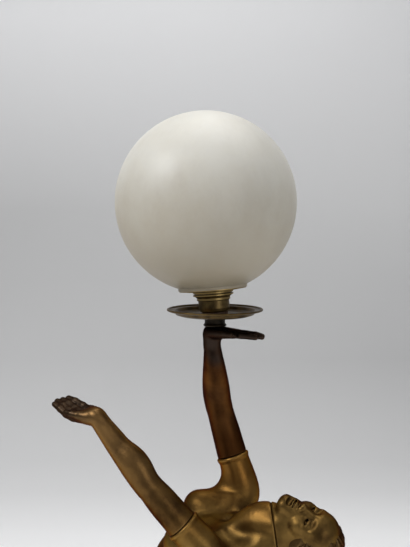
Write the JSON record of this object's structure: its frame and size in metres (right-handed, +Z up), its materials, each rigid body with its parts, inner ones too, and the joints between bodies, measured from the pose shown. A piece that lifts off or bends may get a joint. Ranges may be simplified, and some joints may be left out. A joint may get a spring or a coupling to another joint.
{
  "type": "figural table lamp",
  "caption": "Table lamp: a kneeling dancer in a back bend carries an opal glass globe on the palm of one raised arm, on a stepped eight-sided stone base.",
  "frame": {"origin": "centre of the base's underside, on the surface the lamp stands on", "axes": "+Z up; +X along the base, from the figure's knees towards its thrown-back head; +Y towards the raised arm's side"},
  "size_m": [0.2916, 0.18, 0.7328],
  "materials": {
    "black_marble": "polished black marble with fine pale veins",
    "felt": "green baize",
    "bakelite": "dark moulded bush",
    "steel": "plain steel",
    "porcelain": "glazed porcelain",
    "brass_bright": "plain turned brass",
    "brass_dark": "aged brown-gold brass",
    "bronze": "brown-gold patinated bronze",
    "bronze_red": "redder brown patinated bronze",
    "leather": "brown leather washer",
    "opal_glass": "matt opal glass, cream white",
    "tin": "soldered contact",
    "bulb_glass": "pearl bulb glass",
    "lead_sheath": "round rubber-sheathed flex"
  },
  "bodies": {
    "figure": {"base_slab": "black_marble", "base_plinth": "black_marble", "felt_pad": "felt", "cable_bush": "bakelite", "fixing_studs": "steel", "stud_washers": "steel", "stud_nuts": "steel", "junction_block": "porcelain", "junction_screws": "brass_bright", "skirt_casting": "bronze", "waist_belt": "bronze", "torso_casting": "bronze", "raised_arm_casting": "bronze_red", "free_arm_casting": "bronze_red", "arm_pins": "steel", "spacer_collar": "brass_dark", "drip_dish": "brass_dark", "leather_washer": "leather", "hollow_nipple": "brass_bright", "nipple_nut": "brass_bright", "holder_cup": "brass_dark", "terminal_block": "porcelain", "bayonet_barrel": "brass_bright", "threaded_skirt": "brass_dark", "globe_claw": "brass_dark", "inner_lead": "lead_sheath"},
    "globe": {"glass_globe": "opal_glass"},
    "upper_ring": {"upper_shade_ring": "brass_dark"},
    "lower_ring": {"lower_shade_ring": "brass_dark"},
    "bulb": {"bulb_cap": "brass_bright", "bulb_pins": "brass_bright", "bulb_contacts": "tin", "bulb_glass": "bulb_glass"},
    "plungers": {"contact_plunger_left": "brass_bright", "contact_plunger_right": "brass_bright"}
  },
  "joints": [
    {"name": "globe_lift", "type": "slide", "parent": "figure", "child": "globe", "axis": [-0.0872, 0, 0.9962], "range_m": [0, 0.12]},
    {"name": "upper_ring_turn", "type": "hinge", "parent": "figure", "child": "upper_ring", "pos_m": [0.024, 0, 0.5313], "axis": [-0.0872, 0, 0.9962], "continuous": true},
    {"name": "lower_ring_turn", "type": "hinge", "parent": "figure", "child": "lower_ring", "pos_m": [0.024, 0, 0.5313], "axis": [-0.0872, 0, 0.9962], "continuous": true},
    {"name": "bulb_press", "type": "slide", "parent": "figure", "child": "bulb", "axis": [-0.0872, 0, 0.9962], "range_m": [-0.0015, 0], "stiffness_N_per_m": 1500, "springref_m": 0.004},
    {"name": "plunger_press", "type": "slide", "parent": "figure", "child": "plungers", "axis": [-0.0872, 0, 0.9962], "range_m": [-0.0015, 0]}
  ],
  "couplings": [
    {"joint": "plunger_press", "follows": "bulb_press", "ratio": 1}
  ]
}
